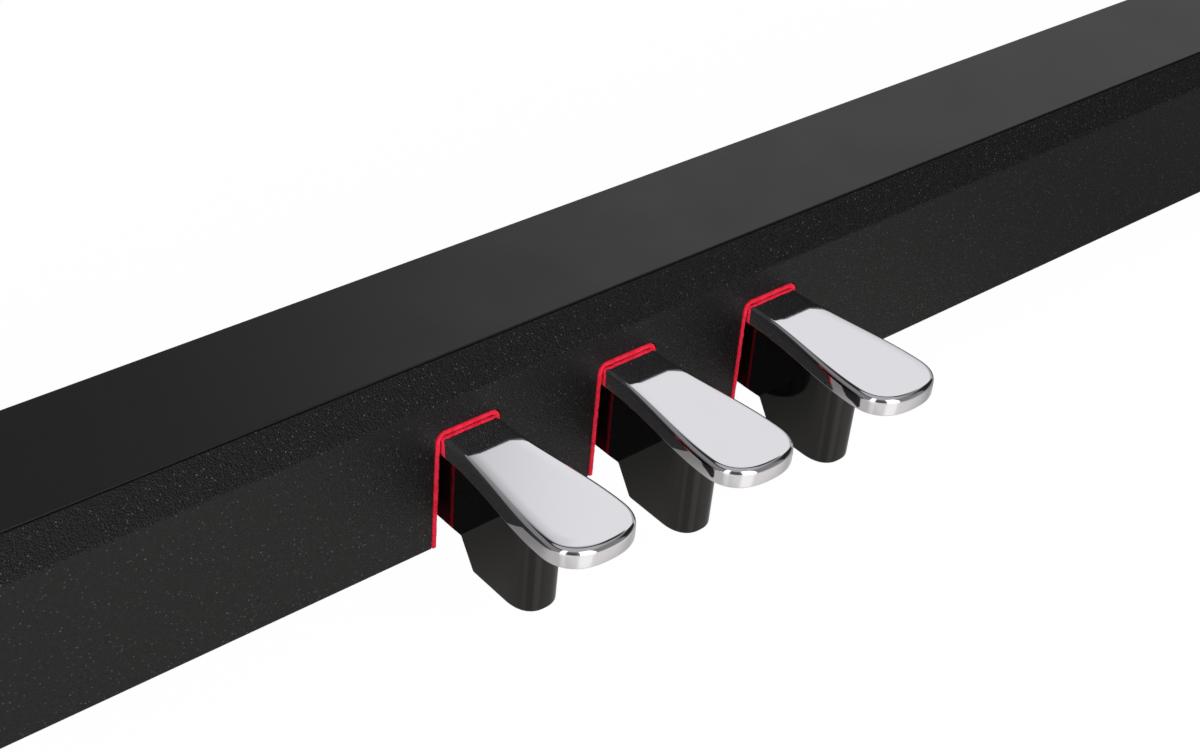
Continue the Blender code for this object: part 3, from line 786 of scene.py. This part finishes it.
def body_ring(x, z, back, inset, height=None):
    """Level outline of the block: round nose, straight sides and a square back."""
    draft = 0.0003 * (PLATE_UNDERSIDE - z) / 0.040
    half = BODY_HALF_WIDTH - draft - inset
    length = BODY_NOSE_LENGTH - draft - inset
    power = 2 / BODY_ROUNDNESS
    points = []
    for k in range(49):
        angle = math.pi * k / 48
        across = math.copysign(abs(math.cos(angle)) ** power, math.cos(angle))
        points.append((-half * across, BODY_NOSE_Y - length * math.sin(angle) ** power))
    straight = 8
    for k in range(1, straight + 1):
        points.append((half, BODY_NOSE_Y + (back - inset - BODY_NOSE_Y) * k / straight))
    for k in range(straight, 0, -1):
        points.append((-half, BODY_NOSE_Y + (back - inset - BODY_NOSE_Y) * k / straight))
    return [Vector((x + a, b, height(b) if height else z)) for a, b in points]


def make_pedal_body(side, x):
    """Piano-black block: round nose with a little draft, rounded lower edge, notch at the back."""
    def notch(y):
        return 0.0118 if y < -0.0085 else 0.0110 - 0.01 * y

    rings = []
    radius = 0.0010
    for k in range(7):
        angle = 0.5 * math.pi * k / 6
        z = BODY_BOTTOM + radius * (1 - math.cos(angle))
        rings.append(body_ring(x, z, body_back(z), radius * (1 - math.sin(angle))))
    for z in (0.0025, 0.0050, 0.0075, 0.0095, 0.0109):
        rings.append(body_ring(x, z, body_back(z), 0.0))
    rings.append(body_ring(x, 0.0115, -0.0098, 0.0))
    rings.append(body_ring(x, 0.0118, -0.0092, 0.0))
    rings.append(body_ring(x, 0.01185, 0.0248, 0.0, notch))
    rings.append(body_ring(x, 0.0125, 0.025, 0.0))
    for z in (0.018, 0.024, 0.030, 0.036):
        rings.append(body_ring(x, z, 0.025, 0.0))
    rings.append(body_ring(x, 0.0395, 0.025, 0.0, lambda y: underside(y) - GAP - 0.0004))
    rings.append(body_ring(x, 0.0414, 0.025, 0.0004, lambda y: underside(y) - GAP))
    bm = bmesh.new()
    loft(bm, rings)
    piece = finish(f"pedal_body_{side}_gloss", bm, "gloss_black", 40)
    flatten_normals(piece)
    place(piece, f"{side}_pedal", f"pedal_body_{side}")


# ---------------------------------------------------------------- mechanism


def make_spring(side, x):
    """Coil spring with closed ends, on the bar, with a mesh of its own."""
    wire = 0.001
    low = SHEET + GAP + wire
    high = TAIL_UNDERSIDE - GAP - wire
    turns = 8
    steps = 28
    total = turns * steps
    pitch = 2.2 * wire
    free = (high - low - 2 * pitch) / (turns - 2)
    rings = []
    for k in range(total + 1):
        turn = k / steps
        if turn < 1:
            z = low + pitch * turn * turn
        elif turn > turns - 1:
            z = high - pitch * (turns - turn) ** 2
        else:
            z = low + pitch + free * (turn - 1)
        angle = 2 * math.pi * turn
        out = Vector((math.cos(angle), math.sin(angle), 0.0))
        middle = Vector((x, SPRING_Y, z)) + out * SPRING_RADIUS
        ring = []
        for s in range(12):
            way = 2 * math.pi * s / 12
            ring.append(middle + (out * math.cos(way) + Vector((0, 0, math.sin(way)))) * wire)
        rings.append(ring)
    bm = bmesh.new()
    loft(bm, rings)
    piece = finish(f"return_spring_{side}_coil", bm, "ground_steel", 60)
    place(piece, ROOT, f"return_spring_{side}")
    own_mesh(piece)


def make_shaft_and_clips():
    """Shaft with chamfered ends, and a spring clip outside each outer pedal."""
    half = 0.094
    profile = [(-half, 0.0030), (-half + 0.0008, 0.004), (half - 0.0008, 0.004), (half, 0.0030)]
    bm = bmesh.new()
    add_turned(bm, profile, "X", (PIVOT_Y, PIVOT_Z))
    place(finish("pivot_shaft_finished", bm, "ground_steel"), ROOT, "pivot_shaft")
    for side, x in (PEDALS[0], PEDALS[2]):
        near = x + math.copysign(0.0163, x)
        ends = sorted((near, near + math.copysign(0.0012, x)))
        outer = arc((PIVOT_Y, PIVOT_Z), 0.0072, -60, 240, 40)
        inner = arc((PIVOT_Y, PIVOT_Z), 0.0043, 232, -52, 40)
        bm = bmesh.new()
        add_prism(bm, outer + inner, "X", ends[0], ends[1])
        bevel_sharp(bm, 0.0002, 1)
        piece = finish(f"shaft_clip_{side}_ring", bm, "ground_steel")
        place(piece, ROOT, f"shaft_clip_{side}")


def make_cover_screw(side, x):
    """Pan-head screw with a cross recess."""
    head = UNIT_BACK + GAP
    profile = [(UNIT_BACK - 0.0041, 0.0008), (UNIT_BACK - 0.0034, 0.0016), (head, 0.0016)]
    profile += [(head, 0.0036), (head + 0.0006, 0.0036), (head + 0.0012, 0.0032)]
    profile += [(head + 0.0017, 0.0024), (head + 0.0019, 0.0012)]
    bm = bmesh.new()
    add_turned(bm, profile, "Y", (x, SCREW_Z), 40)
    screw = finish(f"cover_screw_{side}_pan", bm, "zinc_steel")
    tools = []
    for a, b in ((0.0017, 0.0004), (0.0004, 0.0017)):
        bm = bmesh.new()
        add_block(bm, (x - a, head + 0.0006, SCREW_Z - b), (x + a, head + 0.003, SCREW_Z + b))
        tools.append(finish("recess_tool", bm, "zinc_steel"))
    cut(screw, *tools)
    screw.data.set_sharp_from_angle(angle=math.radians(35))
    place(screw, ROOT, f"cover_screw_{side}")


def make_board_parts():
    """Small parts of the sensor board: chips' legs, resistors, capacitors and the socket's pins."""
    under = BOARD_BOTTOM
    metal = bmesh.new()
    dark = bmesh.new()
    top = under - 0.0001
    near = SENSOR_Y - 0.001
    for _, x in PEDALS:
        for k in (-1, 0, 1):
            leg = x + 0.0019 * k
            foot = (leg - 0.0002, SENSOR_Y + 0.003, under - 0.0012)
            add_block(metal, foot, (leg + 0.0002, SENSOR_Y + 0.0044, top))
        for k in (0, 1):
            start = x + 0.0075 + 0.0045 * k
            end = start + 0.0016
            add_block(dark, (start, near, under - 0.0006), (end, SENSOR_Y, top))
            for left, right in ((start - 0.0003, start), (end, start + 0.0019)):
                add_block(metal, (left, near, under - 0.00058), (right, SENSOR_Y, top))
    for k in range(4):
        y = 0.0402 + 0.002 * k
        add_block(metal, (0.1102, y - 0.0003, 0.0497), (0.1185, y + 0.0003, 0.0503))
    for bm in (metal, dark):
        bevel_sharp(bm, 0.00008, 1)
    place(finish("board_legs_and_pins", metal, "nickel"), ROOT)
    place(finish("board_resistors", dark, "chip_black"), ROOT)


def make_adjuster_screw():
    """Plain shank, then a real thread: each point's radius follows its height and its turn."""
    centre = (0.0, ADJUSTER_Y)
    foot = ADJUSTER_BASE + PAD_HEIGHT
    thread_foot = foot + 0.010
    top = 0.022
    depth = 0.00055
    segments = 40
    per_turn = 8
    rings = []
    for r in range(int((top - 0.0012 - thread_foot) / THREAD_PITCH * per_turn) + 1):
        ring = []
        for k in range(segments):
            turn = k / segments
            phase = (r / per_turn - turn) % 1.0
            radius = SCREW_RADIUS - depth * abs(2 * phase - 1)
            angle = 2 * math.pi * turn
            z = thread_foot + THREAD_PITCH * (r / per_turn)
            ring.append(Vector((radius * math.cos(angle), ADJUSTER_Y + radius * math.sin(angle), z)))
        rings.append(ring)
    shank = [circle("Z", centre, SCREW_RADIUS, z, segments) for z in (foot, foot + 0.0098)]
    tip = circle("Z", centre, 0.0029, top, segments)
    bm = bmesh.new()
    loft(bm, shank + rings + [tip])
    place(finish("adjuster_screw_threaded", bm, "zinc_steel", 50), "adjuster_spindle", "adjuster_screw")


def make_adjuster_knob():
    """Fluted knob with round edges and a recess on top. The rim's places are heights and insets."""
    foot = ADJUSTER_BASE + PAD_HEIGHT
    top = foot + 0.010
    bore = SCREW_RADIUS + GAP
    lobes = 12
    count = lobes * 12
    edge = 0.0014
    angles = [0.5 * math.pi * k / 4 for k in range(5)]
    rim = [(foot + edge * (1 - math.cos(a)), edge * (1 - math.sin(a))) for a in angles]
    rim += [(top - edge * (1 - math.sin(a)), edge * (1 - math.cos(a))) for a in angles]

    def fluted(z, inset):
        ring = []
        for k in range(count):
            angle = 2 * math.pi * k / count
            flute = max(0.0, math.cos(lobes * angle)) ** 3
            radius = KNOB_RADIUS - 0.0010 * flute - inset
            ring.append(Vector((radius * math.cos(angle), ADJUSTER_Y + radius * math.sin(angle), z)))
        return ring

    def plain(z, radius):
        return circle("Z", (0.0, ADJUSTER_Y), radius, z, count)

    rings = [plain(foot, bore)] + [fluted(z, inset) for z, inset in rim]
    rings += [plain(top, 0.0075), plain(top - 0.0012, 0.0068), plain(top - 0.0012, bore)]
    bm = bmesh.new()
    close_round(bm, rings)
    place(finish("adjuster_knob_fluted", bm, "knob_black", 40), "adjuster_spindle", "adjuster_knob")


def make_adjuster_pad():
    """Rubber pad with a rounded rim."""
    base = ADJUSTER_BASE
    profile = [(base, 0.0098), (base + 0.0003, 0.0106), (base + 0.0009, 0.0114), (base + 0.0014, 0.0117)]
    profile += [(base + 0.0022, 0.0118), (base + 0.0025, 0.0116), (base + 0.0027, 0.0111)]
    bm = bmesh.new()
    add_turned(bm, profile, "Z", (0.0, ADJUSTER_Y), 64)
    place(finish("adjuster_pad_rubber", bm, "black_rubber"), "adjuster_foot", "adjuster_pad")


def make_plain_pieces():
    """CAD pieces whose shape is right: the same shape with its edges rounded."""
    soften("top_board", "satin_black", 0.0005, segments=3)
    for side in ("left", "right"):
        soften(f"back_board_{side}", "board_black", 0.0004)
        soften(f"end_block_{side}", "board_black", 0.0004)
        soften(f"end_plate_{side}", "zinc_steel", 0.0003)
        soften(f"end_insert_{side}", "brass", 0.0002)
        soften(f"side_plate_{side}", "painted_steel", 0.0003)
    for side, _ in PEDALS:
        soften(f"pivot_bush_{side}", "nylon", 0.0002, f"{side}_pedal")
        soften(f"sensor_magnet_{side}", "nickel", 0.0002, f"{side}_pedal")
        soften(f"pivot_yoke_{side}", "zinc_steel", 0.0003)
        soften(f"up_stop_felt_{side}", "grey_felt", 0.0006, roughen=0.00012)
        soften(f"down_stop_pad_{side}", "black_rubber", 0.0005)
        soften(f"position_sensor_{side}", "chip_black", 0.0002)
    soften("bottom_plate", "zinc_steel", 0.0003)
    soften("rear_cover", "painted_steel", 0.0003)
    soften("stop_rail", "zinc_steel", 0.0003)
    soften("sensor_board", "circuit_green", 0.0001, segments=1)
    soften("cable_socket", "socket_white", 0.0003)
    soften("adjuster_nut", "zinc_steel", 0.0004)


# ---------------------------------------------------------------- stage, light, camera


def make_floor():
    """Pale floor: an even white to the camera; in reflections a glow with a painted shadow, dimmer under the
    bar, and painted shade to the right.
    """
    size = 30.0
    bm = bmesh.new()
    corners = ((-size, -size), (size, -size), (size, size), (-size, size))
    bm.faces.new([bm.verts.new((a, b, FLOOR_Z)) for a, b in corners])
    mesh = bpy.data.meshes.new("floor")
    bm.to_mesh(mesh)
    bm.free()
    pale = bpy.data.materials.new("pale_floor")
    pale.use_nodes = True
    tree = pale.node_tree
    tree.nodes.remove(tree.nodes["Principled BSDF"])
    along, depth, _ = node(tree, "ShaderNodeSeparateXYZ", {0: object_coordinates(tree)}).outputs
    # Painted shadow and shade in the floor's glow: dimmer nearer the bar, dimmer again under it, and dimmer
    # to the right.
    bright = ramp(tree, depth, -0.17, -0.08, 0.68, 0.44, True)
    bright = maths(tree, "MULTIPLY", bright, ramp(tree, depth, -0.03, 0.04, 1.0, 0.40, True))
    bright = maths(tree, "MULTIPLY", bright, ramp(tree, along, 0.08, 0.38, 1.0, 0.40, True))
    # The floor glows for all but camera rays, though it is no lamp: painted light.
    near = node(tree, "ShaderNodeEmission", {"Color": (1.0, 0.965, 0.93, 1.0), "Strength": bright})
    sheen = node(tree, "ShaderNodeBsdfGlossy", {"Color": (0.14, 0.14, 0.14, 1.0), "Roughness": 0.2})
    below = node(tree, "ShaderNodeAddShader", {0: near.outputs[0], 1: sheen.outputs[0]})
    glow = node(tree, "ShaderNodeEmission", {"Color": (1.0, 1.0, 1.0, 1.0), "Strength": 0.97})
    lit = node(tree, "ShaderNodeBsdfDiffuse", {"Color": (0.05, 0.05, 0.05, 1.0)})
    seen = node(tree, "ShaderNodeAddShader", {0: glow.outputs[0], 1: lit.outputs[0]})
    ray = node(tree, "ShaderNodeLightPath").outputs["Is Camera Ray"]
    mixed = node(tree, "ShaderNodeMixShader", {0: ray, 1: below.outputs[0], 2: seen.outputs[0]})
    put(tree, mixed.outputs[0], tree.nodes["Material Output"].inputs["Surface"])
    mesh.materials.append(pale)
    floor = bpy.data.objects.new("floor", mesh)
    bpy.context.scene.collection.objects.link(floor)


def patch(tree, turn, height, low, high, bottom, top, soft=3.0, side_soft=None):
    """1 inside a range of azimuth and elevation (degrees), falling to 0 over a soft edge."""
    side_soft = side_soft or soft
    mask = ramp(tree, turn, low - side_soft, low + side_soft, 0.0, 1.0, True)
    for value, edge, width, before, after in (
        (turn, high, soft, 1.0, 0.0),
        (height, bottom, soft, 0.0, 1.0),
        (height, top, soft, 1.0, 0.0),
    ):
        part = ramp(tree, value, edge - width, edge + width, before, after, True)
        mask = maths(tree, "MULTIPLY", mask, part)
    return mask


def make_light():
    """Studio: a dim room with dark gaps, a large panel behind to the right and two softboxes in front."""
    world = bpy.data.worlds.new("studio")
    bpy.context.scene.world = world
    world.use_nodes = True
    tree = world.node_tree
    facing = node(tree, "ShaderNodeTexCoord").outputs["Generated"]
    x, y, z = node(tree, "ShaderNodeSeparateXYZ", {0: facing}).outputs
    degrees = 180.0 / math.pi
    north = maths(tree, "MULTIPLY", maths(tree, "ARCTAN2", x, y), degrees)
    opposite = [maths(tree, "MULTIPLY", axis, -1.0) for axis in (x, y)]
    south = maths(tree, "MULTIPLY", maths(tree, "ARCTAN2", *opposite), degrees)
    height = maths(tree, "MULTIPLY", maths(tree, "ARCSINE", z), degrees)
    total = ramp(tree, height, 40.0, 66.0, 0.20, 0.42, True)
    for turn, low, high, bottom, top, soft, dimming in (
        (north, -95, 92, 50, 61, 2.5, 0.93),
        (north, 89, 128, -20, 43, 3.0, 0.90),
        (south, 27, 58, -12, 50, 5.0, 0.60),
    ):
        gap = patch(tree, turn, height, low, high, bottom, top, soft)
        total = maths(tree, "MULTIPLY", total, ramp(tree, gap, 0.0, 1.0, 1.0, 1.0 - dimming))
    panel = ramp(tree, height, 32.0, 22.0, 0.80, 0.43, True)
    for turn, low, high, bottom, top, soft, side_soft, strength in (
        (north, 36, 88, -40, 47, 1.5, 7.0, panel),
        (south, -12, 21, -10, 56, 2.0, 2.0, 2.2),
        (south, 61, 78, -10, 60, 2.0, 2.0, 1.5),
    ):
        box = patch(tree, turn, height, low, high, bottom, top, soft, side_soft)
        rest = maths(tree, "MULTIPLY", total, maths(tree, "SUBTRACT", 1.0, box))
        total = maths(tree, "ADD", rest, maths(tree, "MULTIPLY", box, strength))
    background = tree.nodes["Background"]
    put(tree, total, background.inputs["Strength"])
    put(tree, (1.0, 0.995, 0.995, 1.0), background.inputs["Color"])
    white = node(tree, "ShaderNodeBackground", {"Color": (1.0, 1.0, 1.0, 1.0), "Strength": 1.04})
    seen = node(tree, "ShaderNodeLightPath").outputs["Is Camera Ray"]
    mixed = node(tree, "ShaderNodeMixShader", {0: seen, 1: background.outputs[0], 2: white.outputs[0]})
    put(tree, mixed.outputs[0], tree.nodes["World Output"].inputs["Surface"])
    bpy.context.scene.view_settings.view_transform = "Standard"


def make_fill():
    """Soft fill from the player's side, which lights the felt and isn't mirrored in the chrome."""
    lamp = bpy.data.lights.new("fill", "AREA")
    lamp.shape = "RECTANGLE"
    lamp.size = 1.8
    lamp.size_y = 1.2
    lamp.energy = 24.0
    holder = bpy.data.objects.new("fill", lamp)
    holder.location = (-0.3, -1.6, 0.8)
    holder.rotation_euler = (-holder.location).to_track_quat("-Z", "Y").to_euler()
    holder.visible_glossy = False
    holder.visible_camera = False
    bpy.context.scene.collection.objects.link(holder)


def make_camera():
    """The view from the player's left, looking down at the pedals."""
    azimuth, pitch, roll = math.radians(43.12), math.radians(35.77), math.radians(-5.41)
    level_ahead = Vector((math.sin(azimuth), math.cos(azimuth), 0.0))
    ahead = level_ahead * math.cos(pitch) - Vector((0.0, 0.0, math.sin(pitch)))
    level = Vector((math.cos(azimuth), -math.sin(azimuth), 0.0))
    down = ahead.cross(level)
    right = math.cos(roll) * level + math.sin(roll) * down
    up = math.sin(roll) * level - math.cos(roll) * down
    data = bpy.data.cameras.new("camera")
    data.lens = 60.59
    data.sensor_width = 36.0
    data.clip_start = 0.01
    data.clip_end = 100.0
    camera = bpy.data.objects.new("camera", data)
    turn = Matrix((right, up, -ahead)).transposed().to_4x4()
    camera.matrix_world = Matrix.Translation((-0.4040, -0.4182, 0.4575)) @ turn
    bpy.context.scene.collection.objects.link(camera)
    bpy.context.scene.camera = camera


def main():
    make_materials()
    make_front_board()
    make_plain_pieces()
    for seed, (side, x) in enumerate(PEDALS, 3):
        make_felt(side, x, seed)
        make_lever(side, x)
        make_pedal_body(side, x)
        make_spring(side, x)
    make_shaft_and_clips()
    for side, x in SCREW_PLACES:
        make_cover_screw(side, x)
    make_board_parts()
    make_adjuster_screw()
    make_adjuster_knob()
    make_adjuster_pad()
    make_floor()
    make_light()
    make_fill()
    make_camera()


main()
